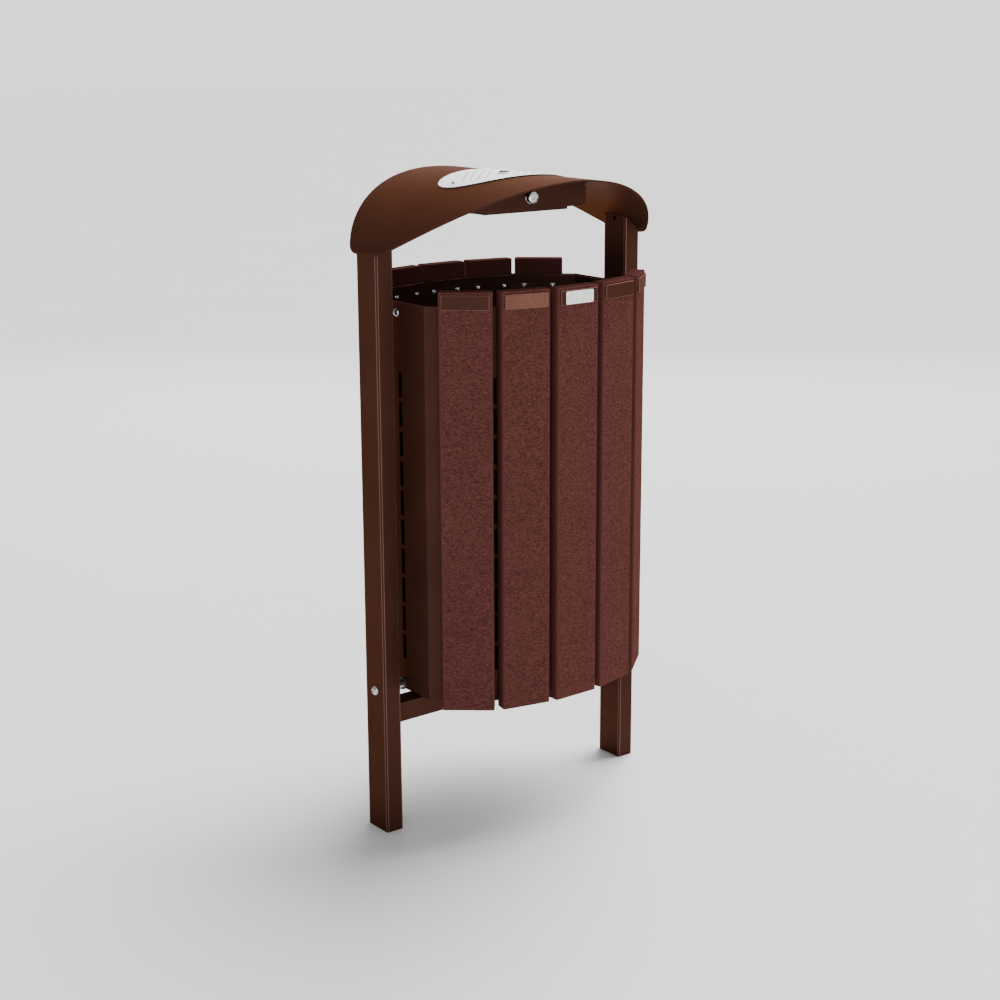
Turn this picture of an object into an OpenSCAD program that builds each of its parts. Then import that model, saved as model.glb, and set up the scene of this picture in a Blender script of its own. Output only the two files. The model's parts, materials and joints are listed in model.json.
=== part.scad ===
// Litter bin: two posts under an arched hood carry a tilting drum clad with ten slats.
// X runs from post to post, +Y is the back, +Z is up, the origin is on the ground.

/* [Posts] */
// Distance between the centres of the two posts
post_pitch = 550; // [520:5:600]
// Post section along X
post_w = 35; // [30:1:38]
// Post section along Y
post_d = 60; // [50:1:70]
// Wall of the posts and of the crossmember
tube_wall = 2; // [1.5:0.5:3]
// Outer corner radius of the post section
post_corner_r = 4.5; // [3:0.5:6]
// Thickness of the tapped plate that closes each foot
foot_plate = 10; // [8:1:14]
// Core hole of the M12 anchor thread in each foot plate, radius
anchor_hole_r = 5.1; // [4.2:0.1:6]

/* [Crossmember] */
// Section along Y
cross_d = 40; // [30:1:50]
// Section along Z
cross_h = 35; // [25:1:38]
// Height of its top face above the ground
cross_top = 234; // [225:1:234]

/* [Hood] */
// Outer radius of the rolled arch
hood_r = 432; // [425:1:445]
// Sheet thickness
hood_sheet = 3; // [2:0.5:4]
// Height of the crown above the ground
hood_top = 1152; // [1140:1:1170]
// Half length of the hood along X
hood_half_l = 296; // [295:1:300]
// Half width of the hood at its middle
hood_half_w = 208; // [200:1:215]
// Plan radius of the long edges
hood_plan_r = 347; // [340:1:360]
// Plan radius of the corners
hood_corner_r = 67; // [60:1:75]

/* [Ash box] */
// Half length along X
box_half_l = 126; // [115:1:130]
// Half depth along Y
box_half_d = 72; // [68:1:76]
// Height of its lower edge above the ground
box_bottom = 1094; // [1090:1:1098]
// Half length of the tray
tray_half_l = 91; // [80:1:91]
// Height of the underside of the tray above the ground
tray_bottom = 1088.5; // [1087:0.5:1090]
// Half length of the oval stubbing plate
stub_half_l = 130; // [120:1:140]
// Half width of the oval stubbing plate
stub_half_w = 79; // [70:1:85]
// Height of the lock axis above the ground
ash_lock_z = 1115; // [1113:1:1117]

/* [Drum] */
// Width across the flat sides
drum_w = 466; // [460:1:468]
// Depth over the flat front and back, without slats
drum_d = 357; // [350:1:360]
// Width of each flat side
side_flat = 162; // [150:1:170]
// Width of the flat front facet
front_flat = 83.4; // [80:0.1:86]
// Half width at the outer folds
fold_x = 142.4; // [138:0.1:145]
// Half depth at the outer folds
fold_y = 156; // [152:1:158]
// Sheet thickness
drum_sheet = 2; // [1.5:0.5:2]
// Lower edge above the ground
drum_bottom = 254; // [254:1:256]
// Upper edge above the ground
drum_top = 948; // [940:1:950]
// Height of the pivot axis above the ground
pivot_z = 261.5; // [261:0.5:262]
// Height of a ventilation slot
vent_h = 45; // [35:1:48]
// Width of a ventilation slot
vent_w = 11; // [8:1:12]
// Vertical pitch of the ventilation slots
vent_pitch = 52.5; // [50:0.5:60]
// Number of slots in each column
vent_count = 10; // [4:1:10]

/* [Slats] */
// Slat width
slat_w = 90; // [80:1:92]
// Slat thickness
slat_t = 25; // [20:1:28]
// Slat corner radius
slat_r = 3; // [2:0.5:5]
// Lower end above the ground
slat_bottom = 244.4; // [242:0.2:250]
// Upper end above the ground
slat_top = 975.9; // [970:0.1:980]
// Distance of each inner slat's centre from the inner fold, along its facet
inner_slat_s = 56.3; // [54:0.1:58]
// Distance of each outer slat's centre from the outer fold, along its facet
outer_slat_s = 47.6; // [46:0.1:60]
// Height of the upper slat screws above the ground
screw_z_top = 926.5; // [920:0.5:927]
// Height of the lower slat screws above the ground
screw_z_low = 290; // [280:1:320]
// Distance of a slat screw from the middle of its slat
screw_dx = 27; // [20:1:32]

/* [Hidden] */
$fn = 64;

metal = "#4f3a30";
plastic = "#6b4a3c";
steel = "#b8b8b4";
rubber = "#222222";
eps = 1;               // how far a cutter runs past a face

// Posts
post_x = post_pitch / 2;
post_in = post_x - post_w / 2;
post_out = post_x + post_w / 2;
arch_z = hood_top - hood_r;
hood_in_r = hood_r - hood_sheet;
vent_notch_w = 7;
vent_notch_z = 1052;

// Drum outline, counter-clockwise from the front left fold of the side
quarter = [[-drum_w / 2, -side_flat / 2], [-fold_x, -fold_y], [-front_flat / 2, -drum_d / 2]];
front_half = concat(quarter, [for (i = [2 : -1 : 0]) [-quarter[i][0], quarter[i][1]]]);
outline = concat(front_half, [for (i = [5 : -1 : 0]) [front_half[i][0], -front_half[i][1]]]);

function unit(v) = v / norm(v);
function left_of(v) = [-v[1], v[0]];
function inset_corner(a, b, c, t) =
    let (n1 = left_of(unit(b - a)), n2 = left_of(unit(c - b)))
    b + (n1 + n2) * t / (1 + n1 * n2);
function inset(p, t) =
    let (n = len(p))
    [for (i = [0 : n - 1]) inset_corner(p[(i + n - 1) % n], p[i], p[(i + 1) % n], t)];

// Slat places on the front: [turn about Z, x, y] of the middle of the inner face
inner_dir = unit(quarter[1] - quarter[2]);
outer_dir = unit(quarter[0] - quarter[1]);
inner_mid = quarter[2] + inner_dir * inner_slat_s;
outer_mid = quarter[1] + outer_dir * outer_slat_s;
inner_turn = -atan2(inner_dir[1], -inner_dir[0]);
outer_turn = -atan2(outer_dir[1], -outer_dir[0]);
slat_places = [
    [outer_turn, outer_mid[0], outer_mid[1]],
    [inner_turn, inner_mid[0], inner_mid[1]],
    [0, 0, -drum_d / 2],
    [-inner_turn, -inner_mid[0], inner_mid[1]],
    [-outer_turn, -outer_mid[0], outer_mid[1]]
];
slat_gap = 0.02;       // paint between a slat and the sheet
plate_z = 946;
plate_h = 25;
plate_w = 80;
plate_t = 3;
badge_size = [60, 1.2, 22];
badge_z = 947;

// Pivots
pivot_r = 5;
bush_r = 8;
bush_bore_r = pivot_r + 0.05;
side_x = drum_w / 2;
bush_end = side_x - 7;
washer_t = 2;
nut_t = 4;
gap = 0.4;             // running gap between parts that turn against each other
bolt_hole_r = pivot_r + 0.1;
vent_first_z = 783;

// Side bolts
side_bolt_z = 929;
side_bolt_r = 4;

// Slat screws
slat_screw_r = 2;
slat_screw_l = 20;
slat_screw_head_r = 3.5;

// Bag ring
ring_gap = 1;
ring_t = 2.5;
ring_bottom = 930.4;
ring_top = 946;

// Ash tray and its pin
pin_r = 3;
pin_y = 63;
pin_z = 1100;
tray_sheet = 1.5;
tray_front = -64;
tray_back = 56.5;
tray_rim = 1118;
box_sheet = 1.5;
box_lip = tray_half_l + 2;
front_sheet = 2;
chute = [80, 24];      // opening in the hood under the slots of the stubbing plate
slot_turn = 47;        // the slots and grooves of the stubbing plate run slantwise
stub_sheet = 2;
stub_screw_x = 109;

// Locks
barrel_r = 8.5;
collar_r = 11.5;
thread_r = 9.5;
lock_nut_r = 13;
ash_cam_y = -60;
ash_cam_l = 22;
drum_lock_y = 10;
drum_lock_z = 880;
catch_reach = 35;
drum_cam_x = 245;
catch_r = 4;

module rounded_rect(w, d, r) {
    square([w - 2 * r, d], center = true);
    square([w, d - 2 * r], center = true);
    for (x = [-1, 1], y = [-1, 1])
        translate([x * (w / 2 - r), y * (d / 2 - r)]) circle(r);
}

// Spherical head of a screw, flat on z = 0, bulging towards +Z
module dome(r, h) {
    sphere_r = (r * r + h * h) / (2 * h);
    intersection() {
        translate([0, 0, h - sphere_r]) sphere(sphere_r);
        cylinder(r = r, h = h);
    }
}

module both_sides() {
    children();
    mirror([1, 0, 0]) children();
}

// Everything above the underside of the hood
module above_hood_underside(z0) {
    difference() {
        translate([-350, -250, z0]) cube([700, 500, hood_top + 50 - z0]);
        translate([0, 300, arch_z]) rotate([90, 0, 0]) cylinder(r = hood_in_r, h = 600, $fn = 180);
    }
}

module post() {
    color(metal) difference() {
        translate([post_x, 0, 0]) linear_extrude(hood_top) difference() {
            rounded_rect(post_w, post_d, post_corner_r);
            rounded_rect(post_w - 2 * tube_wall, post_d - 2 * tube_wall,
                         post_corner_r - tube_wall);
        }
        above_hood_underside(arch_z + 200);
        translate([post_in - eps, 0, vent_notch_z + vent_notch_w / 2]) {
            rotate([0, 90, 0]) cylinder(d = vent_notch_w, h = tube_wall + 2 * eps);
            translate([0, -vent_notch_w / 2, 0]) cube([tube_wall + 2 * eps, vent_notch_w, 50]);
        }
        translate([post_in - eps, 0, pivot_z])
            rotate([0, 90, 0]) cylinder(r = bolt_hole_r, h = post_w + 2 * eps);
    }
}

module post_left() { mirror([1, 0, 0]) post(); }

module post_right() {
    color(metal) difference() {
        post();
        translate([post_in - eps, drum_lock_y, drum_lock_z])
            rotate([0, 90, 0]) cylinder(r = thread_r + 0.1, h = post_w + 2 * eps);
    }
}

module post_foot_plates() {
    color(metal) both_sides() translate([post_x, 0, 0]) difference() {
        linear_extrude(foot_plate) rounded_rect(post_w - 2 * tube_wall, post_d - 2 * tube_wall,
                                                post_corner_r - tube_wall);
        translate([0, 0, -eps]) cylinder(r = anchor_hole_r, h = foot_plate + 2 * eps);
    }
}

module crossmember() {
    color(metal) difference() {
        translate([-post_in, -cross_d / 2, cross_top - cross_h])
            cube([2 * post_in, cross_d, cross_h]);
        translate([-post_in - eps, -cross_d / 2 + tube_wall, cross_top - cross_h + tube_wall])
            cube([2 * post_in + 2 * eps, cross_d - 2 * tube_wall, cross_h - 2 * tube_wall]);
    }
}

// Plan of the hood: two long arcs, round corners and short straight ends
module hood_plan() {
    arc_y = hood_plan_r - hood_half_w;
    corner_x = hood_half_l - hood_corner_r;
    corner_y = sqrt(pow(hood_plan_r - hood_corner_r, 2) - corner_x * corner_x) - arc_y;
    turn = atan2(corner_y + arc_y, corner_x);
    corner = [for (i = [0 : 9]) let (a = turn * i / 10)
        [corner_x + hood_corner_r * cos(a), corner_y + hood_corner_r * sin(a)]];
    side = [for (i = [0 : 16]) let (a = turn + (90 - turn) * i / 16)
        [hood_plan_r * cos(a), hood_plan_r * sin(a) - arc_y]];
    right = concat(corner, side);
    n = len(right);
    back = concat(right, [for (i = [n - 2 : -1 : 0]) [-right[i][0], right[i][1]]]);
    m = len(back);
    polygon(concat(back, [for (i = [m - 1 : -1 : 0]) [back[i][0], -back[i][1]]]));
}

module arch(r_in, r_out) {
    difference() {
        translate([0, 300, arch_z]) rotate([90, 0, 0]) cylinder(r = r_out, h = 600, $fn = 180);
        translate([0, 300 + eps, arch_z]) rotate([90, 0, 0])
            cylinder(r = r_in, h = 600 + 2 * eps, $fn = 180);
    }
}

module stub_screw_place() {
    for (side = [-1, 1])
        translate([0, 0, arch_z]) rotate([0, side * asin(stub_screw_x / hood_r), 0])
            translate([0, 0, hood_r]) children();
}

module hood() {
    color(metal) difference() {
        intersection() {
            arch(hood_in_r, hood_r);
            translate([0, 0, arch_z + 200]) linear_extrude(300) hood_plan();
        }
        rotate([0, 0, slot_turn])
            translate([-chute[0] / 2, -chute[1] / 2, hood_top - 20]) cube([chute[0], chute[1], 40]);
        stub_screw_place() translate([0, 0, -6]) cylinder(r = 2.6, h = 8);
    }
}

// Both ends, along the slant, of a groove at distance v from the middle of the inner oval
function groove_ends(v) =
    let (a = stub_half_l - 35, b = stub_half_w - 19, c = cos(slot_turn), s = sin(slot_turn))
    let (qa = c * c / (a * a) + s * s / (b * b), qb = v * s * c * (1 / (b * b) - 1 / (a * a)))
    let (qc = v * v * (s * s / (a * a) + c * c / (b * b)) - 1, root = sqrt(qb * qb - qa * qc))
    [(-qb - root) / qa, (-qb + root) / qa];

// Oval steel plate with a slanted mouth crossed by two bars, and shallow stubbing grooves
module stubbing_plate() {
    mouth_w = 18;
    mouth_end = 14;
    mouth_mid = 31;
    bar = 8;
    groove_w = 1.4;
    groove_depth = 0.7;
    groove_first = 24.5;
    groove_pitch = 13.4;
    top_r = hood_r + stub_sheet;
    oval = [for (a = [0 : 5 : 355]) [stub_half_l * cos(a), stub_half_w * sin(a)]];
    color(steel) difference() {
        intersection() {
            arch(hood_r, top_r);
            translate([0, 0, hood_top - 60]) linear_extrude(80) polygon(oval);
        }
        rotate([0, 0, slot_turn]) translate([0, -mouth_w / 2, hood_top - 10]) {
            translate([-mouth_mid / 2, 0, 0]) cube([mouth_mid, mouth_w, 20]);
            for (side = [0, 1]) mirror([side, 0, 0])
                translate([mouth_mid / 2 + bar, 0, 0]) cube([mouth_end, mouth_w, 20]);
        }
        intersection() {
            arch(top_r - groove_depth, top_r + 5);
            rotate([0, 0, slot_turn]) for (i = [0 : 3], side = [-1, 1]) {
                v = side * (groove_first + i * groove_pitch);
                ends = groove_ends(v);
                translate([ends[0], v - groove_w / 2, hood_top - 60])
                    cube([ends[1] - ends[0], groove_w, 80]);
            }
        }
        stub_screw_place() translate([0, 0, -1]) cylinder(r = 2.6, h = 5);
    }
}

module stubbing_plate_screws() {
    color(steel) stub_screw_place() {
        translate([0, 0, stub_sheet]) dome(4.5, 2.4);
        translate([0, 0, -8]) cylinder(r = 2.5, h = 8 + stub_sheet);
    }
}

module ash_box_housing() {
    color(metal) {
        difference() {
            translate([-box_half_l, -box_half_d + 1, box_bottom])
                cube([2 * box_half_l, 2 * box_half_d - 1, 80]);
            translate([-box_half_l + box_sheet, -box_half_d, box_bottom + box_sheet])
                cube([2 * (box_half_l - box_sheet), 2 * box_half_d - box_sheet, 80]);
            translate([-box_lip, -box_half_d, box_bottom - eps])
                cube([2 * box_lip, 2 * box_half_d - box_sheet, 10]);
            above_hood_underside(box_bottom - 10);
        }
        both_sides() difference() {
            translate([box_lip, pin_y - 7, box_bottom + box_sheet]) cube([2.5, 14, 12]);
            translate([box_lip - eps, pin_y, pin_z])
                rotate([0, 90, 0]) cylinder(r = pin_r + 0.1, h = 5);
        }
    }
}

module ash_front_plate() {
    corner = 9;
    corner_z = arch_z + sqrt(pow(hood_in_r, 2) - pow(box_half_l - corner, 2)) - corner;
    color(metal) difference() {
        translate([0, -box_half_d + 1, 0]) rotate([90, 0, 0]) linear_extrude(front_sheet) {
            intersection() {
                translate([0, arch_z]) circle(hood_in_r, $fn = 180);
                translate([-box_half_l + corner, box_bottom])
                    square([2 * (box_half_l - corner), 80]);
            }
            translate([-box_half_l, box_bottom]) square([2 * box_half_l, corner_z - box_bottom]);
            for (x = [-1, 1])
                translate([x * (box_half_l - corner), corner_z]) circle(corner);
        }
        translate([0, -box_half_d + 5, ash_lock_z])
            rotate([90, 0, 0]) cylinder(r = thread_r + 0.1, h = 10);
    }
}

// Lock housing along +Z: a ring proud of the panel, a threaded tube through it and a nut
module lock_housing(proud, panel, tube, nut_h) {
    difference() {
        union() {
            cylinder(r = collar_r, h = proud);
            translate([0, 0, -tube]) cylinder(r = thread_r, h = tube);
            translate([0, 0, -panel - nut_h]) cylinder(r = lock_nut_r, h = nut_h, $fn = 6);
        }
        translate([0, 0, -tube - eps])
            cylinder(r = barrel_r + 0.05, h = tube + proud + 2 * eps);
    }
}

module ash_lock_collar() {
    color(steel) translate([0, -box_half_d - 1, ash_lock_z]) rotate([90, 0, 0])
        lock_housing(10, front_sheet, 12.6, 3.5);
}

// Barrel along +Z with a three-sided key socket in its face at z = 0
module lock_barrel(length) {
    difference() {
        translate([0, 0, -length]) cylinder(r = barrel_r, h = length);
        translate([0, 0, -6]) cylinder(r = 5, h = 7, $fn = 3);
    }
}

module ash_lock_barrel() {
    face_y = -box_half_d - 10;
    color(steel) translate([0, face_y, ash_lock_z]) rotate([90, 0, 0])
        lock_barrel(ash_cam_y - face_y);
}

// Points down when unlocked and turns up sideways under the tray's hook
module ash_lock_cam() {
    color(steel) translate([0, ash_cam_y, ash_lock_z]) {
        translate([-6, 0, -ash_cam_l]) cube([12, 2.5, ash_cam_l]);
        rotate([-90, 0, 0]) cylinder(r = 8, h = 2.5);
    }
}

module ash_tray_hinge_pin() {
    color(steel) translate([-box_lip - 4, pin_y, pin_z])
        rotate([0, 90, 0]) cylinder(r = pin_r, h = 2 * box_lip + 8);
}

module ash_tray() {
    length = tray_back - tray_front;
    boss_r = 5;
    boss_x = 70;
    boss_l = 15;
    color(metal) {
        difference() {
            translate([-tray_half_l, tray_front, tray_bottom])
                cube([2 * tray_half_l, length, tray_rim - tray_bottom]);
            translate([-tray_half_l + tray_sheet, tray_front + tray_sheet, tray_bottom + tray_sheet])
                cube([2 * (tray_half_l - tray_sheet), length - 2 * tray_sheet, 80]);
            translate([-14, tray_front - eps, ash_lock_z - 15]) cube([28, 4, 40]);
        }
        // Hook that rests on the cam of the lock
        translate([17, tray_front, tray_rim - 0.5]) cube([10, tray_sheet, 6]);
        translate([17, tray_front, 1122]) cube([10, 8, tray_sheet]);
        both_sides() difference() {
            union() {
                translate([boss_x, pin_y, pin_z])
                    rotate([0, 90, 0]) cylinder(r = boss_r, h = boss_l);
                translate([boss_x, tray_back - tray_sheet / 2, pin_z - 3])
                    cube([boss_l, pin_y - tray_back, 6]);
            }
            translate([boss_x - eps, pin_y, pin_z])
                rotate([0, 90, 0]) cylinder(r = pin_r + 0.05, h = boss_l + 2 * eps);
        }
    }
}

module pivot_bolts() {
    head_h = 5.5;
    tail = bush_end - gap - washer_t - nut_t - 2;
    color(steel) both_sides() translate([0, 0, pivot_z]) rotate([0, 90, 0]) {
        translate([0, 0, tail]) cylinder(r = pivot_r, h = post_out - tail);
        translate([0, 0, post_out]) difference() {
            dome(8.75, head_h);
            translate([0, 0, head_h - 2.5]) cylinder(r = 3.4, h = 5, $fn = 6);
        }
    }
}

module tube_x(x0, x1, r_out, r_in) {
    translate([x0, 0, pivot_z]) rotate([0, 90, 0]) difference() {
        cylinder(r = r_out, h = x1 - x0);
        translate([0, 0, -eps]) cylinder(r = r_in, h = x1 - x0 + 2 * eps);
    }
}

module pivot_spacers() {
    color(steel) both_sides() tube_x(side_x + 2 + gap, post_in, 9, bolt_hole_r);
}

module pivot_washers() {
    color(steel) both_sides()
        tube_x(bush_end - gap - washer_t, bush_end - gap, 10, bolt_hole_r);
}

module pivot_nuts() {
    nut_x = bush_end - gap - washer_t - nut_t;
    color(steel) both_sides() translate([nut_x, 0, pivot_z]) rotate([0, 90, 0]) difference() {
        cylinder(r = 9.4, h = nut_t, $fn = 6);
        translate([0, 0, -eps]) cylinder(r = pivot_r, h = nut_t + 2 * eps);
    }
}

module pivot_bushes() {
    color("#d8d4c8") both_sides() {
        tube_x(bush_end, side_x, bush_r, bush_bore_r);
        tube_x(side_x, side_x + 2, 11, bush_bore_r);
    }
}

module stop_buffers() {
    buffer_x = 150;
    color(rubber) both_sides() translate([buffer_x, cross_d / 4, cross_top]) {
        cylinder(r = 8, h = drum_bottom - cross_top - 3.3);
        translate([0, 0, drum_bottom - cross_top - 3.3]) dome(8, 3);
    }
}

// Holes shared by both half shells: pivots, side bolts and the catch of the drum lock
module shell_side_holes() {
    both_sides() {
        translate([side_x - 10, 0, pivot_z]) rotate([0, 90, 0]) cylinder(r = bush_r, h = 20);
        translate([side_x - 10, 0, side_bolt_z])
            rotate([0, 90, 0]) cylinder(r = side_bolt_r + 0.1, h = 20);
    }
}

module screw_holes(z) {
    for (p = slat_places, dx = [-screw_dx, screw_dx])
        translate([p[1], p[2], z]) rotate([0, 0, p[0]]) translate([dx, eps, 0])
            rotate([90, 0, 0]) translate([0, 0, -5]) cylinder(r = slat_screw_r + 0.1, h = 10);
}

// One column of slots on each outer fold
module fold_slots() {
    for (i = [0 : vent_count - 1]) both_sides()
        translate([fold_x, -fold_y, vent_first_z - i * vent_pitch])
            rotate([0, 0, -(inner_turn + outer_turn) / 2])
                translate([-vent_w / 2, -10, 0]) cube([vent_w, 20, vent_h]);
}

// One column of slots beside each side seam, in the front shell only
module seam_slots() {
    for (i = [0 : vent_count - 1]) both_sides()
        translate([side_x - 10, -2 - vent_w, vent_first_z - i * vent_pitch])
            cube([20, vent_w, vent_h]);
}

module half_shell() {
    height = drum_top - drum_bottom;
    difference() {
        translate([0, 0, drum_bottom]) linear_extrude(height) intersection() {
            difference() {
                polygon(outline);
                polygon(inset(outline, drum_sheet));
            }
            translate([-drum_w, -drum_d]) square([2 * drum_w, drum_d]);
        }
        shell_side_holes();
        fold_slots();
        screw_holes(screw_z_top);
        screw_holes(screw_z_low);
    }
}

module shell_front() {
    color(metal) difference() {
        half_shell();
        seam_slots();
    }
}

module shell_back() { color(metal) mirror([0, 1, 0]) half_shell(); }

module drum_floor() {
    drain_r = 15;
    notch = [drum_w, 24];
    color(metal) difference() {
        translate([0, 0, drum_bottom]) linear_extrude(drum_sheet) difference() {
            polygon(inset(outline, drum_sheet));
            circle(drain_r);
        }
        both_sides() translate([bush_end - 14, -notch[1] / 2, drum_bottom - eps])
            cube([notch[0], notch[1], 10]);
    }
}

module hinge_plates() {
    plate = [3, 60, 45];
    color(metal) both_sides() difference() {
        translate([side_x - drum_sheet - plate[0], -plate[1] / 2, drum_bottom + drum_sheet])
            cube(plate);
        translate([side_x - 10, 0, pivot_z]) rotate([0, 90, 0]) cylinder(r = bush_r, h = 20);
    }
}

module side_bolts() {
    color(steel) both_sides() translate([0, 0, side_bolt_z]) rotate([0, 90, 0]) {
        translate([0, 0, side_x - 11]) cylinder(r = side_bolt_r, h = 11);
        translate([0, 0, side_x]) dome(7.3, 4.4);
    }
}

module side_nuts() {
    nut_x = side_x - drum_sheet - 6.5;
    color(steel) both_sides() translate([nut_x, 0, side_bolt_z]) rotate([0, 90, 0]) difference() {
        cylinder(r = 7.5, h = 6.5, $fn = 6);
        translate([0, 0, -eps]) cylinder(r = side_bolt_r, h = 10);
    }
}

module slat(p) {
    color(plastic) translate([p[1], p[2], 0]) rotate([0, 0, p[0]]) difference() {
        translate([0, -slat_gap - slat_t / 2, slat_bottom])
            linear_extrude(slat_top - slat_bottom)
                rounded_rect(slat_w, slat_t, slat_r);
        for (dx = [-screw_dx, screw_dx], z = [screw_z_top, screw_z_low])
            translate([dx, eps, z]) rotate([90, 0, 0])
                cylinder(r = slat_screw_r + 0.05, h = slat_screw_l + eps);
    }
}

module slat_back(i) { mirror([0, 1, 0]) slat(slat_places[i]); }

module slat_plate(p) {
    color(metal) translate([p[1], p[2], plate_z]) rotate([0, 0, p[0]])
        translate([-plate_w / 2, -slat_gap - slat_t - plate_t, 0])
            cube([plate_w, plate_t, plate_h]);
}

module badge() {
    corner = 3;
    face_y = -drum_d / 2 - slat_gap - slat_t - plate_t;
    color("white") translate([0, face_y, badge_z + badge_size[2] / 2])
        rotate([90, 0, 0]) linear_extrude(badge_size[1])
            rounded_rect(badge_size[0], badge_size[2], corner);
}

module slat_screws() {
    for (p = slat_places, dx = [-screw_dx, screw_dx], z = [screw_z_top, screw_z_low])
        translate([p[1], p[2], z]) rotate([0, 0, p[0]]) translate([dx, drum_sheet, 0]) {
            rotate([90, 0, 0]) cylinder(r = slat_screw_r, h = slat_screw_l);
            rotate([-90, 0, 0]) dome(slat_screw_head_r, 2.4);
        }
}

module slat_screws_front() { color(steel) slat_screws(); }

module slat_screws_back() { color(steel) mirror([0, 1, 0]) slat_screws(); }

module drum_lock_collar() {
    tube = post_out - drum_cam_x - 4;
    color(steel) translate([post_out, drum_lock_y, drum_lock_z]) rotate([0, 90, 0])
        lock_housing(2, post_w, tube, 4);
}

module drum_lock_barrel() {
    color(steel) translate([post_out + 1, drum_lock_y, drum_lock_z]) rotate([0, 90, 0])
        lock_barrel(post_out + 1 - drum_cam_x - 3);
}

// Hooked plate, upright when unlocked; its mouth takes the catch pin when turned to the front
module drum_lock_cam() {
    plate_x = 3;
    half_w = 10;
    color(steel) translate([drum_cam_x, drum_lock_y, drum_lock_z]) difference() {
        translate([0, -half_w, -half_w]) cube([plate_x, 2 * half_w, catch_reach + half_w + 12]);
        translate([-eps, -half_w - eps, catch_reach - 7.5])
            cube([plate_x + 2 * eps, half_w + eps + catch_r + 0.8, 13]);
    }
}

module drum_lock_catch() {
    color(steel) translate([side_x, drum_lock_y - catch_reach, drum_lock_z])
        rotate([0, 90, 0]) cylinder(r = catch_r, h = drum_cam_x + 6 - side_x);
}

module bag_ring() {
    notch_w = 22;
    notch_top = side_bolt_z + 9;
    color(metal) difference() {
        translate([0, 0, ring_bottom]) linear_extrude(ring_top - ring_bottom) difference() {
            polygon(inset(outline, drum_sheet + ring_gap));
            polygon(inset(outline, drum_sheet + ring_gap + ring_t));
        }
        translate([-drum_w, -notch_w / 2, ring_bottom - eps])
            cube([2 * drum_w, notch_w, notch_top - ring_bottom + eps]);
    }
}

post_left();
post_right();
post_foot_plates();
crossmember();
hood();
ash_box_housing();
ash_front_plate();
stubbing_plate();
stubbing_plate_screws();
ash_lock_collar();
ash_tray_hinge_pin();
pivot_bolts();
pivot_spacers();
pivot_washers();
pivot_nuts();
stop_buffers();
drum_lock_collar();
shell_front();
shell_back();
drum_floor();
hinge_plates();
pivot_bushes();
side_bolts();
side_nuts();
slat(slat_places[0]);  // slat_front_1
slat(slat_places[1]);  // slat_front_2
slat(slat_places[2]);  // slat_front_3
slat(slat_places[3]);  // slat_front_4
slat(slat_places[4]);  // slat_front_5
slat_back(0);  // slat_back_1
slat_back(1);  // slat_back_2
slat_back(2);  // slat_back_3
slat_back(3);  // slat_back_4
slat_back(4);  // slat_back_5
slat_plate(slat_places[0]);  // slat_plate_1
slat_plate(slat_places[1]);  // slat_plate_2
slat_plate(slat_places[2]);  // slat_plate_3
slat_plate(slat_places[3]);  // slat_plate_4
slat_plate(slat_places[4]);  // slat_plate_5
badge();
slat_screws_front();
slat_screws_back();
drum_lock_catch();
ash_tray();
ash_lock_barrel();
ash_lock_cam();
drum_lock_barrel();
drum_lock_cam();
bag_ring();
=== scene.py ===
"""Looks of the litter bin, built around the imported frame. Lengths are in metres, angles in degrees."""

import json
import math

import bpy
import numpy as np
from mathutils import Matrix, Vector, noise

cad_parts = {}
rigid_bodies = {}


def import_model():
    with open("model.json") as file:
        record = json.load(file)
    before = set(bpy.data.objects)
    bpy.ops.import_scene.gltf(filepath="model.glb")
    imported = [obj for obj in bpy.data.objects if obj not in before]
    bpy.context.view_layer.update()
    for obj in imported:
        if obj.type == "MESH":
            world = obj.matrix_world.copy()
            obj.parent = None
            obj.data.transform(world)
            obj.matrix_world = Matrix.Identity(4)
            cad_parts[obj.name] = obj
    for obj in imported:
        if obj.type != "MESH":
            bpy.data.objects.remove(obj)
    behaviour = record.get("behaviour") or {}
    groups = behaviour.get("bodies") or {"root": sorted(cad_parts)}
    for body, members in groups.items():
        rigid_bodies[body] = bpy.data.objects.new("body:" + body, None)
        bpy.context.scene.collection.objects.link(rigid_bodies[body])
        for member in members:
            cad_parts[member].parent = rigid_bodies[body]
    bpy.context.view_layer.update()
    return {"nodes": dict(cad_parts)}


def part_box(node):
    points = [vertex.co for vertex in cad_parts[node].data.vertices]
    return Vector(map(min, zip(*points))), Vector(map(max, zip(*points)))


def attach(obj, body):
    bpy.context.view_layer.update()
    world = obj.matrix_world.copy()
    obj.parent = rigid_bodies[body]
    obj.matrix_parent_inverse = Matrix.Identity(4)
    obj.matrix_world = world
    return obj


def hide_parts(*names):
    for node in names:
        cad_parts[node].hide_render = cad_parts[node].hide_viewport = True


for start_object in list(bpy.data.objects):
    bpy.data.objects.remove(start_object)

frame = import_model()
nodes = frame["nodes"]

MM = 0.001
FRONT, BACK = "front", "back"
SLATS_PER_SIDE = 5
# The one cover plate given a lit copy of the paint: a lighter, glossier brown that paints a bright sheen on
# it alone.
LIT_COPY_PLATE = 2

# ---------------------------------------------------------------- material helpers


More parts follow.
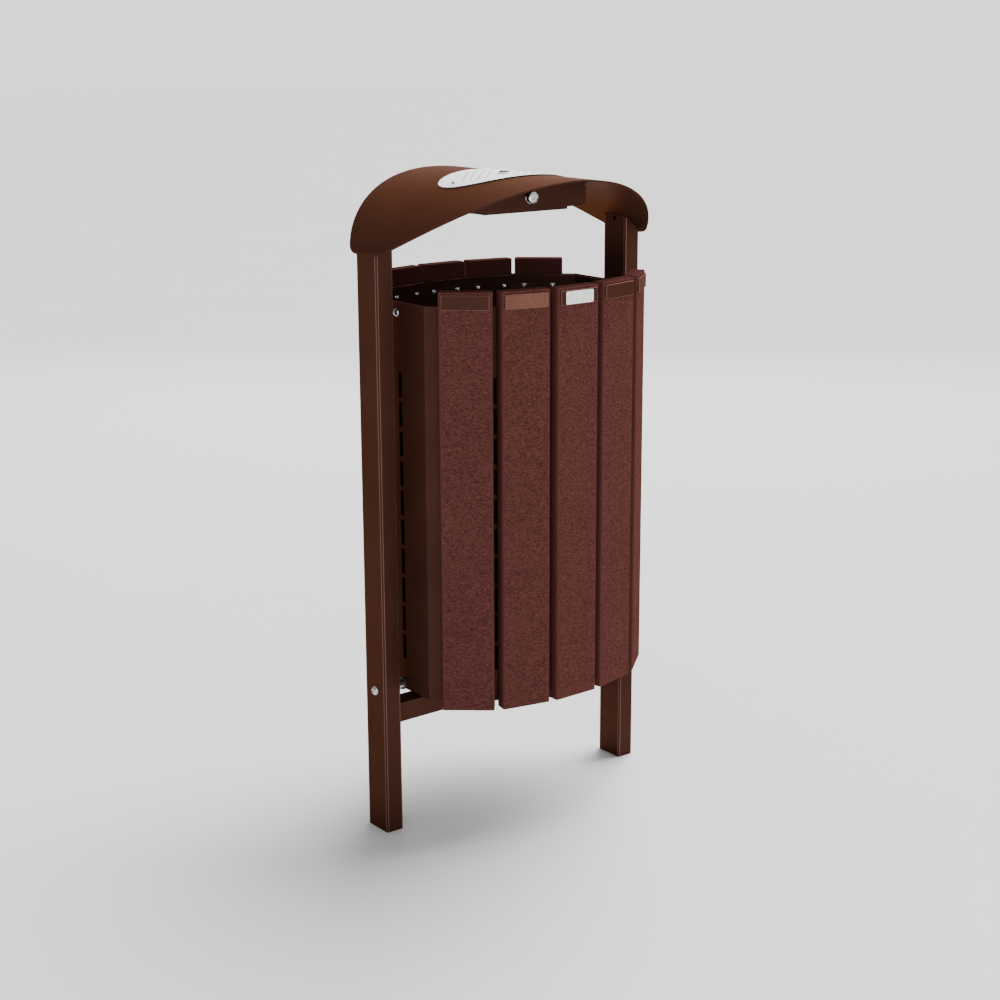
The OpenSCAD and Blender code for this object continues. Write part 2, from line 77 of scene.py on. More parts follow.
class Shader:
    """A Principled material with short ways to add the nodes that drive it."""

    def __init__(self, name):
        self.material = bpy.data.materials.new(name)
        self.material.use_nodes = True
        self.tree = self.material.node_tree
        self.main = self.tree.nodes["Principled BSDF"]

    def node(self, kind, **inputs):
        made = self.tree.nodes.new(kind)
        for key, value in inputs.items():
            self.put(made.inputs[key.replace("_", " ")], value)
        return made

    def put(self, socket, value):
        if isinstance(value, bpy.types.NodeSocket):
            self.tree.links.new(value, socket)
        else:
            socket.default_value = value

    def set(self, **inputs):
        for key, value in inputs.items():
            self.put(self.main.inputs[key.replace("_", " ")], value)

    def place(self):
        """Coordinates that stay with the piece and are in metres."""
        return self.node("ShaderNodeTexCoord").outputs["Object"]

    def attribute(self, name):
        made = self.node("ShaderNodeAttribute")
        made.attribute_name = name
        return made

    def scaled(self, vector, factors):
        made = self.node("ShaderNodeMapping", Vector=vector, Scale=factors)
        return made.outputs["Vector"]

    def noise(self, vector, scale, detail=2.0, roughness=0.5, distortion=0.0):
        made = self.node("ShaderNodeTexNoise", Vector=vector, Scale=scale, Detail=detail,
                         Roughness=roughness, Distortion=distortion)
        return made.outputs["Fac"]

    def spread(self, value, low, high, out_low, out_high):
        """Maps value from low..high to out_low..out_high, clamped."""
        made = self.node("ShaderNodeMapRange")
        made.clamp = True
        for index, number in enumerate((value, low, high, out_low, out_high)):
            self.put(made.inputs[index], number)
        return made.outputs["Result"]

    def ridge(self, value, middle, width):
        """1 where value is near middle, falling to 0 at width from it."""
        made = self.node("ShaderNodeMath")
        made.operation = "MINIMUM"
        self.put(made.inputs[0], self.spread(value, middle - width, middle, 0.0, 1.0))
        self.put(made.inputs[1], self.spread(value, middle, middle + width, 1.0, 0.0))
        return made.outputs["Value"]

    def blend(self, factor, first, second, how="MIX"):
        made = self.tree.nodes.new("ShaderNodeMix")
        made.data_type = "RGBA"
        made.blend_type = how
        self.put(made.inputs["Factor"], factor)
        for key, colour in (("A", first), ("B", second)):
            linked = isinstance(colour, bpy.types.NodeSocket)
            self.put(made.inputs[key], colour if linked else (*colour, 1.0))
        return made.outputs["Result"]

    def bump(self, height, distance, strength=1.0, under=None):
        made = self.node("ShaderNodeBump", Height=height, Distance=distance, Strength=strength)
        if under is not None:
            self.put(made.inputs["Normal"], under)
        return made.outputs["Normal"]


def tinted(colour, factor):
    return tuple(channel * factor for channel in colour)


# ---------------------------------------------------------------- materials

HOOD_R = 432 * MM
STUB_SHEET = 2 * MM
ARCH_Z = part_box("stubbing_plate")[1].z - STUB_SHEET - HOOD_R
PLATE_R = HOOD_R + STUB_SHEET
CHANNEL_DEPTH = 0.2 * MM
COAT_TINT = (0.75, 0.5, 0.42, 1.0)
COAT_BROWN = (0.052, 0.0222, 0.0158)
# Edge brown, over three times the paint's brown: a painted highlight along bevelled edges and round corners.
EDGE_HIGHLIGHT_BROWN = (0.175, 0.088, 0.070)
# Lighter brown of the lit plate copy: painted sheen on one cover plate.
LIT_PLATE_BROWN = (0.056, 0.0265, 0.0200)
SLAT_BROWN = (0.087, 0.0308, 0.0262)


def powder_coat(name, colour=COAT_BROWN, roughness=0.46, metallic=0.5):
    """Satin paint with a metallic tint, orange peel, clouding and specks."""
    shader = Shader(name)
    place = shader.place()
    clouds = shader.noise(place, 9.0, detail=3.0)
    specks = shader.noise(place, 1400.0, detail=1.0)
    peel = shader.noise(place, 420.0, detail=2.0, roughness=0.6)
    base = shader.blend(shader.spread(clouds, 0.3, 0.7, 0.0, 1.0),
                        tinted(colour, 0.9), tinted(colour, 1.1))
    base = shader.blend(shader.spread(specks, 0.62, 0.75, 0.0, 0.3), base, tinted(colour, 1.8))
    shader.set(Base_Color=base, Metallic=metallic, Specular_IOR_Level=0.0, Specular_Tint=COAT_TINT,
               Roughness=shader.spread(peel, 0.25, 0.75, roughness - 0.05, roughness + 0.07),
               Normal=shader.bump(peel, 0.05 * MM, 0.55))
    return shader.material


def recycled_plastic(name, wrinkled):
    """Dull moulded plastic: the front of a slat is wrinkled, with painted shade in its hollows and painted
    highlights on its ridges; its other sides are planed smooth.
    """
    shader = Shader(name)
    grain = shader.attribute("grain").outputs["Vector"]
    relief = shader.attribute("relief").outputs["Fac"]
    clouds = shader.noise(grain, 14.0, detail=3.0)
    fine = shader.noise(shader.scaled(grain, (1.0, 1.0, 2.3)), 230.0, detail=3.0,
                        roughness=0.6, distortion=1.1)
    base = shader.blend(shader.spread(clouds, 0.3, 0.7, 0.0, 1.0),
                        tinted(SLAT_BROWN, 0.95), tinted(SLAT_BROWN, 1.05))
    if wrinkled:
        # Painted shade darkens the deep wrinkles; painted highlight lightens the flat tops.
        base = shader.blend(shader.spread(relief, 0.1, 0.7, 0.6, 0.0), base, tinted(SLAT_BROWN, 0.4))
        base = shader.blend(shader.spread(relief, 0.75, 1.0, 0.0, 0.35), base, tinted(SLAT_BROWN, 1.9))
        # Painted shade in the hollows of the fine wrinkles, painted highlight along their ridges.
        base = shader.blend(shader.spread(fine, 0.32, 0.52, 0.6, 0.0), base, tinted(SLAT_BROWN, 0.45))
        painted_ridge_highlight = shader.ridge(fine, 0.56, 0.07)
        base = shader.blend(shader.spread(painted_ridge_highlight, 0.2, 1.0, 0.0, 0.7), base, tinted(SLAT_BROWN, 2.2))
        shader.set(Roughness=shader.spread(fine, 0.3, 0.7, 0.62, 0.5),
                   Normal=shader.bump(fine, 0.7 * MM, 0.9))
    else:
        streaks = shader.noise(shader.scaled(grain, (1.0, 1.0, 0.06)), 500.0, detail=2.0)
        base = shader.blend(shader.spread(streaks, 0.4, 0.75, 0.0, 0.35), base, tinted(SLAT_BROWN, 0.7))
        shader.set(Roughness=shader.spread(streaks, 0.3, 0.7, 0.42, 0.55),
                   Normal=shader.bump(streaks, 0.06 * MM, 0.5))
    shader.set(Base_Color=base, Specular_IOR_Level=0.0)
    return shader.material


def brushed_steel(name, colour, roughness, brush=(1.0, 0.02, 1.0), metallic=1.0, groove_r=None):
    """Brushed stainless steel. groove_r is the radius of the arch below which its grooves are coloured near
    black.
    """
    shader = Shader(name)
    strokes = shader.noise(shader.scaled(shader.place(), brush), 2600.0, detail=2.0, roughness=0.7)
    smears = shader.noise(shader.place(), 30.0, detail=3.0)
    base = shader.blend(shader.spread(smears, 0.3, 0.7, 0.0, 1.0), tinted(colour, 0.93), colour)
    if groove_r:
        from_axis = shader.node("ShaderNodeVectorMath")
        from_axis.operation = "LENGTH"
        lowered = shader.node("ShaderNodeMapping", Vector=shader.place(),
                              Location=(0.0, 0.0, -ARCH_Z), Scale=(1.0, 0.0, 1.0))
        shader.put(from_axis.inputs[0], lowered.outputs["Vector"])
        # Near black where the surface lies below groove_r, in the grooves.
        groove_darkening = shader.spread(from_axis.outputs["Value"], groove_r - CHANNEL_DEPTH, groove_r, 1.0, 0.0)
        base = shader.blend(groove_darkening, base, (0.02, 0.018, 0.016))
    shader.set(Base_Color=base, Metallic=metallic,
               Roughness=shader.spread(strokes, 0.3, 0.7, roughness - 0.06, roughness + 0.08),
               Normal=shader.bump(strokes, 0.02 * MM, 0.35))
    return shader.material


def polished_chrome(name, grey):
    """Mirror plating with faint smears; grey is how bright it reflects."""
    shader = Shader(name)
    smears = shader.noise(shader.place(), 160.0, detail=3.0)
    base = shader.blend(smears, (0.9 * grey,) * 3, (1.1 * grey,) * 3)
    shader.set(Base_Color=base, Metallic=1.0, Roughness=shader.spread(smears, 0.3, 0.7, 0.07, 0.16))
    return shader.material


def moulded(name, colour, roughness, grain_scale, grain_depth):
    """Small rubber, nylon and enamelled parts."""
    shader = Shader(name)
    grain = shader.noise(shader.place(), grain_scale, detail=3.0)
    base = shader.blend(shader.spread(grain, 0.3, 0.7, 0.0, 1.0),
                        tinted(colour, 0.9), tinted(colour, 1.08))
    shader.set(Base_Color=base, Roughness=shader.spread(grain, 0.3, 0.7, roughness - 0.05, roughness + 0.08),
               Normal=shader.bump(grain, grain_depth, 0.6))
    return shader.material


COAT = powder_coat("powder_coat_brown")
# Edge material, lighter and glossier than the paint: a painted highlight on bevel faces.
COAT_EDGE_HIGHLIGHT = powder_coat("powder_coat_painted_edge_highlight", colour=EDGE_HIGHLIGHT_BROWN, roughness=0.35)
COAT_LIT_PLATE_COPY = powder_coat("powder_coat_lit_plate_copy", colour=LIT_PLATE_BROWN, roughness=0.24, metallic=0.8)
SLAT_FRONT = recycled_plastic("slat_wrinkled_face_painted_light_and_shade", wrinkled=True)
SLAT_SIDE = recycled_plastic("slat_planed_side", wrinkled=False)
STAINLESS = brushed_steel("stainless_brushed", (0.62, 0.61, 0.60), 0.3)
STAINLESS_BRIGHT = brushed_steel("stainless_bright", (0.92, 0.92, 0.91), 0.3, brush=(0.02, 1.0, 1.0),
                                 metallic=0.45, groove_r=PLATE_R - CHANNEL_DEPTH)
STAINLESS_HEAD = brushed_steel("stainless_head", (0.95, 0.95, 0.94), 0.24)
CHROME = polished_chrome("chrome_polished", 0.45)
CHROME_BRIGHT = polished_chrome("chrome_bright", 0.75)
RUBBER = moulded("rubber_black", (0.018, 0.018, 0.018), 0.75, 900.0, 0.1 * MM)
NYLON = moulded("nylon_dark", (0.05, 0.05, 0.05), 0.45, 500.0, 0.03 * MM)
ENAMEL = moulded("badge_enamel", (0.93, 0.93, 0.92), 0.25, 60.0, 0.004 * MM)

# ---------------------------------------------------------------- CAD nodes: edges and finishes

EDGE_ANGLE = math.radians(32)
FLAT_ANGLE = math.radians(0.4)
WELD_DISTANCE = 0.002 * MM
SHEET_EDGE = 0.9 * MM
PLATE_EDGE = 0.8 * MM
# Turn from flat, in degrees, of the corner faces that get the painted highlight.
CORNER_HIGHLIGHT_BAND = (6, 24)


def refine(node, materials, width, segments=2):
    """Gives a CAD node its finish and rounds its edges with modifiers; the mesh's points stay as imported.
    """
    obj = nodes[node]
    obj.modifiers.clear()
    mesh = obj.data
    mesh.materials.clear()
    for material in materials:
        mesh.materials.append(material)
    mesh.normals_split_custom_set([(0.0, 0.0, 0.0)] * len(mesh.loops))
    mesh.polygons.foreach_set("use_smooth", [True] * len(mesh.polygons))
    weld = obj.modifiers.new("weld", "WELD")
    weld.merge_threshold = WELD_DISTANCE
    flat = obj.modifiers.new("flat", "DECIMATE")
    flat.decimate_type = "DISSOLVE"
    flat.angle_limit = FLAT_ANGLE
    bevel = obj.modifiers.new("edges", "BEVEL")
    bevel.width = width
    bevel.segments = segments
    bevel.limit_method = "ANGLE"
    bevel.angle_limit = EDGE_ANGLE
    # Bevel faces take the last material; on painted parts that is the edge material, a painted highlight.
    bevel.material = len(materials) - 1
    shade = obj.modifiers.new("shade", "WEIGHTED_NORMAL")
    shade.weight = 80
    shade.keep_sharp = True


FINISHES = {
    "powder_coat": ([COAT, COAT_EDGE_HIGHLIGHT], 0.5 * MM),
    "stainless": ([STAINLESS], 0.25 * MM),
    "chrome": ([CHROME], 0.3 * MM),
    "rubber": ([RUBBER], 0.4 * MM),
    "nylon": ([NYLON], 0.2 * MM),
    "badge_white": ([ENAMEL], 0.25 * MM),
}

for node_name in nodes:
    finish = FINISHES.get(nodes[node_name].material_slots[0].name)
    if finish:
        refine(node_name, *finish)
refine("stubbing_plate", [STAINLESS_BRIGHT, STAINLESS], 0.3 * MM)
for sheet in ("hood", "shell_front", "shell_back"):
    refine(sheet, [COAT, COAT_EDGE_HIGHLIGHT], SHEET_EDGE)
for number in range(1, SLATS_PER_SIDE + 1):
    # Only this plate gets the lit copy of the paint, a painted sheen; the others get the plain paint.
    face = COAT_LIT_PLATE_COPY if number == LIT_COPY_PLATE else COAT
    refine(f"slat_plate_{number}", [face, COAT_EDGE_HIGHLIGHT], PLATE_EDGE, segments=3)


def corner_highlight_lines(node):
    """Paints a highlight along both sides of a tube's round corners, on the faces told by how far they turn
    from flat.
    """
    for face in nodes[node].data.polygons:
        turn = math.degrees(math.atan2(abs(face.normal.y), abs(face.normal.x)))
        from_flat = min(turn, 90 - turn)
        if abs(face.normal.z) < 0.1 and CORNER_HIGHLIGHT_BAND[0] < from_flat < CORNER_HIGHLIGHT_BAND[1]:
            # Index 1 is the edge material: the painted highlight.
            face.material_index = 1


corner_highlight_lines("post_left")
corner_highlight_lines("post_right")

# ---------------------------------------------------------------- slats

GRAIN_STEP_Z = 1.25 * MM
GRAIN_STEP_S = 2.3 * MM
CORNER_R = 3.0 * MM
CORNER_STEPS = 4
END_CHAMFER = 0.8 * MM
WRINKLE_DEPTH = 0.45 * MM
WRINKLE_FADE = 4 * MM


def slat_frame(node):
    """Middle, width direction, outward direction, half width, half thickness, bottom and top of a slat."""
    points = np.array([v.co for v in nodes[node].data.vertices], float)
    flat = points[:, :2]
    low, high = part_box(node)
    centred = flat - flat.mean(axis=0)
    _, vectors = np.linalg.eigh(centred.T @ centred)
    across = vectors[:, 1]
    outward = vectors[:, 0]
    s, n = flat @ across, flat @ outward
    middle = across * (s.min() + s.max()) / 2 + outward * (n.min() + n.max()) / 2
    if middle @ outward < 0:
        outward = -outward
    clockwise = Vector((outward[1], -outward[0]))
    if clockwise.dot(Vector(across)) < 0:
        across = -across
    return middle, across, outward, (s.max() - s.min()) / 2, (n.max() - n.min()) / 2, low.z, high.z


def slat_profile(half_w, half_t):
    """Points (s, n, is_front) round the section, starting at the left end of the front face."""
    flat_w = half_w - CORNER_R
    flat_t = half_t - CORNER_R
    columns = max(4, round(2 * flat_w / GRAIN_STEP_S))
    points = [(-flat_w + 2 * flat_w * i / columns, half_t, True) for i in range(columns + 1)]

    def corner(cx, cy, start):
        for i in range(1, CORNER_STEPS):
            angle = math.radians(start - 90 * i / CORNER_STEPS)
            points.append((cx + CORNER_R * math.cos(angle), cy + CORNER_R * math.sin(angle), False))

    corner(flat_w, flat_t, 90)
    points.extend([(half_w, flat_t, False), (half_w, -flat_t, False)])
    corner(flat_w, -flat_t, 0)
    points.extend([(flat_w, -half_t, False), (-flat_w, -half_t, False)])
    corner(-flat_w, -flat_t, -90)
    points.extend([(-half_w, -flat_t, False), (-half_w, flat_t, False)])
    corner(-flat_w, flat_t, 180)
    return points


def wrinkle(s, z, seed):
    """Height from 0 to 1 of the irregular wrinkled face at a place along and up the slat."""
    warp = 1.3 * noise.noise((s * 60, z * 75, seed))
    slant = 2.0 * noise.noise((s * 14, z * 8, seed + 5))
    fine = noise.noise((s * 140 + 0.8 * warp, z * 340 + s * 120 * slant + 2.0 * warp, seed + 11))
    broad = noise.noise((s * 110, z * 220 + warp, seed + 23))
    return min(1.0, max(0.0, 0.75 - 1.3 * abs(fine) + 0.3 * broad))


def add_mesh(name, points, faces, materials):
    mesh = bpy.data.meshes.new(name)
    mesh.from_pydata([tuple(p) for p in points], [], faces)
    for material in materials:
        mesh.materials.append(material)
    obj = bpy.data.objects.new(name, mesh)
    bpy.context.scene.collection.objects.link(obj)
    return obj


def slat(node, seed):
    """One board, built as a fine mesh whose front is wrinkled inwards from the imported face."""
    middle, across, outward, half_w, half_t, bottom, top = slat_frame(node)
    profile = slat_profile(half_w, half_t)
    rows = round((top - bottom) / GRAIN_STEP_Z)
    heights = [bottom + (top - bottom) * i / rows for i in range(rows + 1)]
    heights[1] = bottom + END_CHAMFER
    heights[-2] = top - END_CHAMFER
    points, grain, relief = [], [], []
    for row, z in enumerate(heights):
        end = row in (0, rows)
        shrink_w = 1 - (END_CHAMFER / half_w if end else 0)
        shrink_t = 1 - (END_CHAMFER / half_t if end else 0)
        for s, n, is_front in profile:
            height = 1.0
            if is_front and not end:
                to_edge = min(half_w - abs(s), z - bottom, top - z)
                edge = min(to_edge / WRINKLE_FADE, 1.0)
                height = 1.0 - edge * (1.0 - wrinkle(s, z, seed))
            depth = WRINKLE_DEPTH * (1.0 - height)
            flat = middle + across * (s * shrink_w) + outward * ((n - depth) * shrink_t)
            points.append((flat[0], flat[1], z))
            grain.append((s, n + seed, z))
            relief.append(height)
    count = len(profile)
    faces = [((row + 1) * count + i, (row + 1) * count + (i + 1) % count,
              row * count + (i + 1) % count, row * count + i)
             for row in range(rows) for i in range(count)]
    faces.append(tuple(range(count)))
    faces.append(tuple(rows * count + i for i in reversed(range(count))))
    obj = add_mesh(node + "_board", points, faces, [SLAT_SIDE, SLAT_FRONT])
    mesh = obj.data
    mesh.attributes.new("grain", "FLOAT_VECTOR", "POINT").data.foreach_set(
        "vector", np.array(grain, np.float32).ravel())
    mesh.attributes.new("relief", "FLOAT", "POINT").data.foreach_set(
        "value", np.array(relief, np.float32))
    front_columns = sum(1 for p in profile if p[2]) - 1
    slots = [1 if i < front_columns and 0 < row < rows - 1 else 0
             for row in range(rows) for i in range(count)]
    mesh.polygons.foreach_set("material_index", slots + [0, 0])
    mesh.polygons.foreach_set("use_smooth", [True] * (len(faces) - 2) + [False, False])
    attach(obj, "drum")
    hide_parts(node)
    return obj


for side_index, side in enumerate((FRONT, BACK)):
    for number in range(1, SLATS_PER_SIDE + 1):
        slat(f"slat_{side}_{number}", seed=3.7 * number + 41.0 * side_index)

# ---------------------------------------------------------------- screw heads

TURN_STEPS = 48
DRUM_SHEET = 2 * MM
PAINT_GAP = 0.02 * MM
SLAT_SCREW_DX = 27 * MM
SLAT_SCREW_HEAD_R = 3.5 * MM
PLATE_SCREW_INSET = 4.5 * MM
SPLIT_ANGLE = math.radians(38)


def turned(points, faces, place, normal, rings):
    """Adds a lathe shape on an axis; rings are (radius, height, sides), with 0 sides for a circle."""
    turn = Vector(normal).normalized().to_track_quat("Z", "Y").to_matrix()
    start = len(points)
    for r, h, sides in rings:
        for i in range(TURN_STEPS):
            angle = 2 * math.pi * i / TURN_STEPS
            if sides:
                half = math.pi / sides
                r_here = r * math.cos(half) / math.cos(angle % (2 * half) - half)
            else:
                r_here = r
            spoke = Vector((r_here * math.cos(angle), r_here * math.sin(angle), h))
            points.append(Vector(place) + turn @ spoke)
    for ring in range(len(rings) - 1):
        for i in range(TURN_STEPS):
            a, b = start + ring * TURN_STEPS + i, start + ring * TURN_STEPS + (i + 1) % TURN_STEPS
            faces.append((a, b, b + TURN_STEPS, a + TURN_STEPS))
    faces.append(tuple(start + i for i in reversed(range(TURN_STEPS))))
    last = start + (len(rings) - 1) * TURN_STEPS
    faces.append(tuple(last + i for i in range(TURN_STEPS)))


def turned_piece(name, shapes, body, node, material):
    """One piece made of turned shapes, each (place, normal, rings), that stands for a CAD node."""
    points, faces = [], []
    for place, normal, rings in shapes:
        turned(points, faces, place, normal, rings)
    obj = add_mesh(name, points, faces, [material])
    obj.data.polygons.foreach_set("use_smooth", [True] * len(faces))
    edges = obj.modifiers.new("edges", "EDGE_SPLIT")
    edges.split_angle = SPLIT_ANGLE
    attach(obj, body)
    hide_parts(node)


def button_rings(radius, height):
    """A domed head with a washer rim and a hexagon socket."""
    socket = 0.45 * radius
    return [(radius, 0.0, 0), (radius, 0.14 * height, 0), (0.95 * radius, 0.22 * height, 0),
            (0.84 * radius, 0.24 * height, 0), (0.82 * radius, 0.45 * height, 0),
            (0.73 * radius, 0.74 * height, 0), (0.6 * radius, 0.94 * height, 0), (socket, height, 6),
            (socket * 0.94, 0.95 * height, 6), (socket * 0.9, 0.3 * height, 6)]


head = button_rings(4.8 * MM, 3.0 * MM)
for side in (FRONT, BACK):
    screw_low, screw_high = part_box(f"slat_screws_{side}")
    levels = (screw_low.z + SLAT_SCREW_HEAD_R, screw_high.z - SLAT_SCREW_HEAD_R)
    places = []
    for number in range(1, SLATS_PER_SIDE + 1):
        middle, across, outward, half_w, half_t, bottom, top = slat_frame(f"slat_{side}_{number}")
        inner = middle - outward * (half_t + PAINT_GAP + DRUM_SHEET)
        for z in levels:
            for dx in (-SLAT_SCREW_DX, SLAT_SCREW_DX):
                flat = inner + across * dx
                places.append(((flat[0], flat[1], z), (-outward[0], -outward[1], 0.0), head))
    turned_piece(f"slat_screw_heads_{side}", places, "drum", f"slat_screws_{side}",
                 STAINLESS_HEAD)

plate_screws_low, plate_screws_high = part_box("stubbing_plate_screws")
screw_x = (plate_screws_high.x + abs(plate_screws_low.x)) / 2 - PLATE_SCREW_INSET
tilt = math.asin(screw_x / PLATE_R)
turned_piece("stubbing_plate_screw_heads",
             [((side * PLATE_R * math.sin(tilt), 0.0, ARCH_Z + PLATE_R * math.cos(tilt)),
               (side * math.sin(tilt), 0.0, math.cos(tilt)), button_rings(4.5 * MM, 2.4 * MM))
              for side in (-1, 1)],
             "frame", "stubbing_plate_screws", CHROME)

# ---------------------------------------------------------------- locks

BARREL_R = 8.5 * MM
COLLAR_R = 11.5 * MM
TUBE_R = 9.5 * MM
NUT_R = 13 * MM
LIP_R = 9.4 * MM


def collar_rings(proud, panel, tube, nut_h):
    """Housing with a flange, a lip round a dark gap, and a nut behind the panel; z = 0 is the panel."""
    flange = min(1.6 * MM, 0.5 * proud)
    edge = min(1.2 * MM, 0.4 * proud)
    waist = COLLAR_R - 0.9 * MM
    inner = BARREL_R + 0.05 * MM
    return [(inner, -tube, 0), (TUBE_R, -tube, 0), (TUBE_R, -panel - nut_h, 0), (NUT_R, -panel - nut_h, 6),
            (NUT_R, -panel, 6), (TUBE_R, -panel, 0), (TUBE_R, 0.0, 0), (COLLAR_R, 0.0, 0),
            (COLLAR_R, flange - 0.3 * MM, 0), (COLLAR_R - 0.3 * MM, flange, 0), (waist, flange, 0),
            (waist, proud - edge, 0), (waist - 0.3 * edge, proud - 0.3 * edge, 0),
            (waist - 0.8 * edge, proud, 0), (LIP_R, proud, 0), (LIP_R, proud - edge, 0),
            (inner, proud - edge - 0.2 * MM, 0)]


def barrel_rings(length):
    """Plug with a rounded face and a three-sided key socket; z = 0 is its face."""
    return [(BARREL_R, -length, 0), (BARREL_R, -1.0 * MM, 0), (BARREL_R - 0.3 * MM, -0.35 * MM, 0),
            (BARREL_R - 1.0 * MM, -0.02 * MM, 0), (6.4 * MM, 0.0, 0), (6.2 * MM, -0.35 * MM, 0),
            (5.6 * MM, -0.4 * MM, 0), (5.0 * MM, -0.4 * MM, 3), (4.9 * MM, -6.0 * MM, 3)]


def cam_lock(lock, axis, outward, across, up, panel, panel_t, nut_h):
    """Turned housing and plug of a lock that lies along X (axis 0) or Y (axis 1).

    outward is 1 or -1, across and up place its middle, and panel is where its outer face is.
    """
    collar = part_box(f"{lock}_collar")
    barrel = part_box(f"{lock}_barrel")
    face = 1 if outward > 0 else 0
    normal = [0.0, 0.0, 0.0]
    normal[axis] = float(outward)

    def place(along):
        point = [across, across, up]
        point[axis] = along
        return tuple(point)

    proud, tube = (abs(collar[end][axis] - panel) for end in (face, 1 - face))
    turned_piece(f"{lock}_housing", [(place(panel), normal, collar_rings(proud, panel_t, tube, nut_h))],
                 "frame", f"{lock}_collar", CHROME)
    length = barrel[1][axis] - barrel[0][axis]
    turned_piece(f"{lock}_plug", [(place(barrel[face][axis]), normal, barrel_rings(length))],
                 lock, f"{lock}_barrel", CHROME_BRIGHT)


ash_low, ash_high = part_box("ash_lock_collar")
cam_lock("ash_lock", axis=1, outward=-1, across=0.0, up=(ash_low.z + ash_high.z) / 2,
         panel=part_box("ash_front_plate")[0].y, panel_t=2 * MM, nut_h=3.5 * MM)

barrel_low, barrel_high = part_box("drum_lock_barrel")
post_low, post_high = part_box("post_right")
cam_lock("drum_lock", axis=0, outward=1, across=(barrel_low.y + barrel_high.y) / 2,
         up=(barrel_low.z + barrel_high.z) / 2, panel=post_high.x,
         panel_t=post_high.x - post_low.x, nut_h=4 * MM)

# ---------------------------------------------------------------- weld beads

BEAD_R = 1.9 * MM
BEAD_STEP = 1.5 * MM
BEAD_SIDES = 8
BEAD_INSET = 1.5 * MM
HOOD_SHEET = 3 * MM


def weld_bead(name, corners, body, seed):
    """A rippled bead of painted weld along a closed path."""
    path = []
    for start, end in zip(corners, corners[1:] + corners[:1]):
        start, end = Vector(start), Vector(end)
        steps = max(1, round((end - start).length / BEAD_STEP))
        path.extend(start.lerp(end, i / steps) for i in range(steps))
    points, faces = [], []
    count = len(path)
    for i, here in enumerate(path):
        ahead = (path[(i + 1) % count] - path[i - 1]).normalized()
        side = ahead.orthogonal().normalized()
        up = ahead.cross(side)
        r = BEAD_R * (0.86 + 0.14 * abs(math.sin(1.9 * i)) + 0.12 * noise.noise((0.21 * i, seed, 0.0)))
        for k in range(BEAD_SIDES):
            angle = 2 * math.pi * k / BEAD_SIDES
            points.append(here + (side * math.cos(angle) + up * math.sin(angle)) * r)
    for i in range(count):
        for k in range(BEAD_SIDES):
            a, b = i * BEAD_SIDES, ((i + 1) % count) * BEAD_SIDES
            faces.append((a + k, a + (k + 1) % BEAD_SIDES, b + (k + 1) % BEAD_SIDES, b + k))
    obj = add_mesh(name, points, faces, [COAT])
    obj.data.polygons.foreach_set("use_smooth", [True] * len(faces))
    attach(obj, body)


cross_low, cross_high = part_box("crossmember")
hood_in_r = HOOD_R - HOOD_SHEET
post_mid = (post_low.x + post_high.x) / 2
for side, side_name in ((-1, "left"), (1, "right")):
    x = side * cross_high.x
    weld_bead(f"weld_cross_{side_name}",
              [(x, cross_low.y, cross_low.z), (x, cross_high.y, cross_low.z),
               (x, cross_high.y, cross_high.z), (x, cross_low.y, cross_high.z)], "frame", side)
    ring = [(post_low.x, post_low.y), (post_high.x, post_low.y),
            (post_high.x, post_high.y), (post_low.x, post_high.y)]
    ring = [(px - math.copysign(BEAD_INSET, px - post_mid), py - math.copysign(BEAD_INSET, py))
            for px, py in ring]
    weld_bead(f"weld_hood_{side_name}",
              [(side * px, py, ARCH_Z + math.sqrt(hood_in_r ** 2 - px ** 2)) for px, py in ring],
              "frame", side + 7)

# ---------------------------------------------------------------- stage, lights, camera

FLOOR_R = 40.0
FLOOR_SIDES = 72
WORLD_LIGHT = 0.38
BACKDROP_LIGHT = 2.1
SUN_POWER = 6.0
SUN_ANGLE = math.radians(50)
SUN_TURN = (math.radians(-8), math.radians(37), 0.0)
WARM = (1.0, 0.82, 0.78)
LENS = 64.752
SENSOR = 36.0
SHIFT = (-0.03226, -0.03061)
CAMERA_PLACE = (-1.94876, -2.50376, 1.39984)
CAMERA_TURN = (76.166, 0.0, -38.784)


def floor():
    angles = [math.radians(360 / FLOOR_SIDES * i) for i in range(FLOOR_SIDES)]
    points = [(0.0, 0.0, 0.0)] + [(FLOOR_R * math.cos(a), FLOOR_R * math.sin(a), 0.0) for a in angles]
    faces = [(0, i + 1, (i + 1) % FLOOR_SIDES + 1) for i in range(FLOOR_SIDES)]
    shader = Shader("studio_floor")
    clouds = shader.noise(shader.place(), 1.5, detail=3.0)
    shader.set(Base_Color=shader.blend(clouds, (0.82, 0.82, 0.82), (0.86, 0.86, 0.855)), Roughness=0.85)
    add_mesh("studio_floor", points, faces, [shader.material])


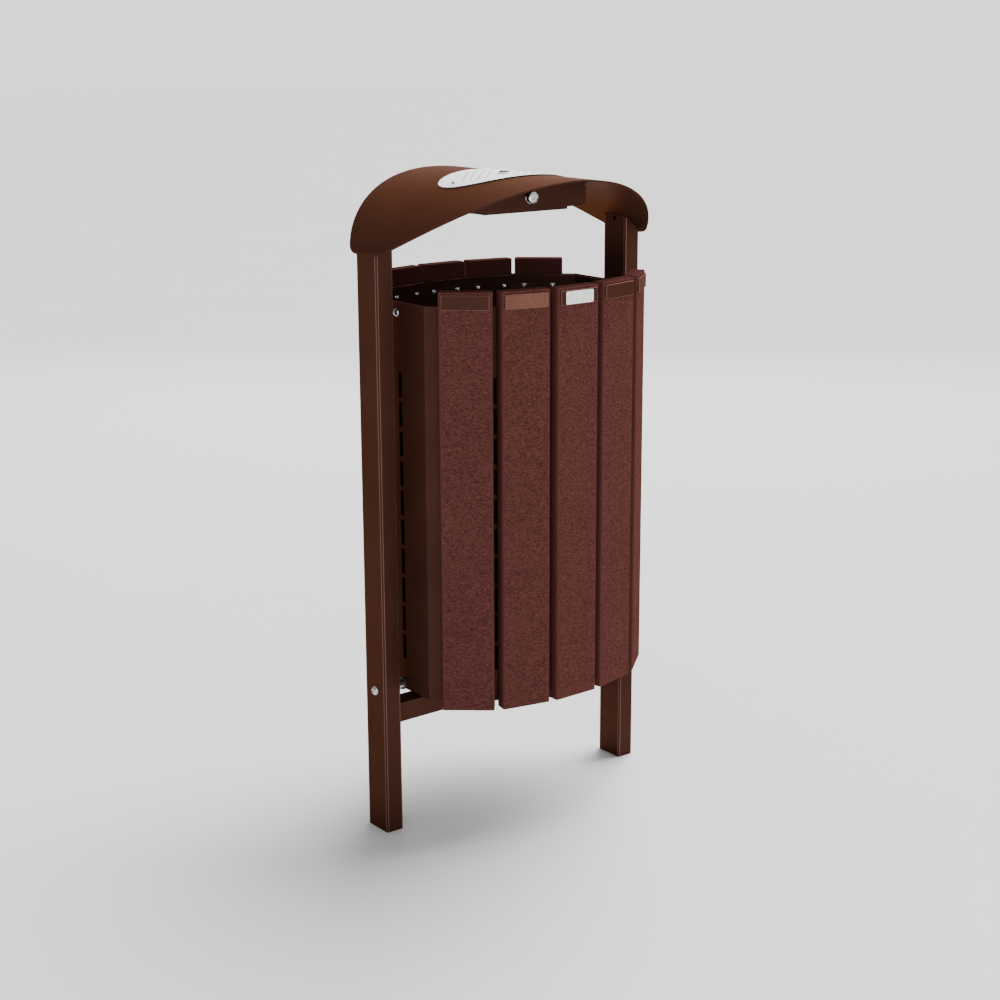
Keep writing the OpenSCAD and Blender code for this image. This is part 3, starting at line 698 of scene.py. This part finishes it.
def softbox(name, place, target, size, power, colour=(1.0, 1.0, 1.0)):
    light = bpy.data.lights.new(name, "AREA")
    light.shape = "RECTANGLE"
    light.size, light.size_y = size
    light.energy = power
    light.color = colour
    obj = bpy.data.objects.new(name, light)
    obj.location = place
    obj.rotation_euler = (Vector(target) - Vector(place)).to_track_quat("-Z", "Y").to_euler()
    obj.visible_camera = False
    bpy.context.scene.collection.objects.link(obj)


def studio():
    world = bpy.data.worlds.new("studio")
    world.use_nodes = True
    tree = world.node_tree
    around = tree.nodes["Background"]
    around.inputs["Color"].default_value = (1.0, 1.0, 1.0, 1.0)
    around.inputs["Strength"].default_value = WORLD_LIGHT
    behind = tree.nodes.new("ShaderNodeBackground")
    behind.inputs["Strength"].default_value = BACKDROP_LIGHT
    choose = tree.nodes.new("ShaderNodeMixShader")
    tree.links.new(tree.nodes.new("ShaderNodeLightPath").outputs["Is Camera Ray"], choose.inputs["Fac"])
    tree.links.new(around.outputs[0], choose.inputs[1])
    tree.links.new(behind.outputs[0], choose.inputs[2])
    tree.links.new(choose.outputs[0], tree.nodes["World Output"].inputs["Surface"])
    bpy.context.scene.world = world
    middle = (0.0, 0.0, 0.65)
    overhead = bpy.data.lights.new("overhead", "SUN")
    overhead.energy = SUN_POWER
    overhead.angle = SUN_ANGLE
    obj = bpy.data.objects.new("overhead", overhead)
    obj.rotation_euler = SUN_TURN
    bpy.context.scene.collection.objects.link(obj)
    softbox("key_right", (2.6, -1.8, 2.2), middle, (1.4, 1.8), 10)
    softbox("front", (-2.4, -2.9, 1.9), (0.0, 0.0, 0.95), (1.8, 1.0), 30)
    softbox("back_card", (2.7, 3.3, 2.3), (0.0, 0.0, 1.1), (5.0, 2.6), 85)
    softbox("low_card", (0.85, -3.5, 0.5), (0.0, 0.0, 0.9), (0.7, 1.0), 14, colour=WARM)


def camera():
    data = bpy.data.cameras.new("camera")
    data.lens = LENS
    data.sensor_width = SENSOR
    data.shift_x, data.shift_y = SHIFT
    obj = bpy.data.objects.new("camera", data)
    obj.location = CAMERA_PLACE
    obj.rotation_euler = tuple(math.radians(a) for a in CAMERA_TURN)
    bpy.context.scene.collection.objects.link(obj)
    bpy.context.scene.camera = obj


floor()
studio()
camera()
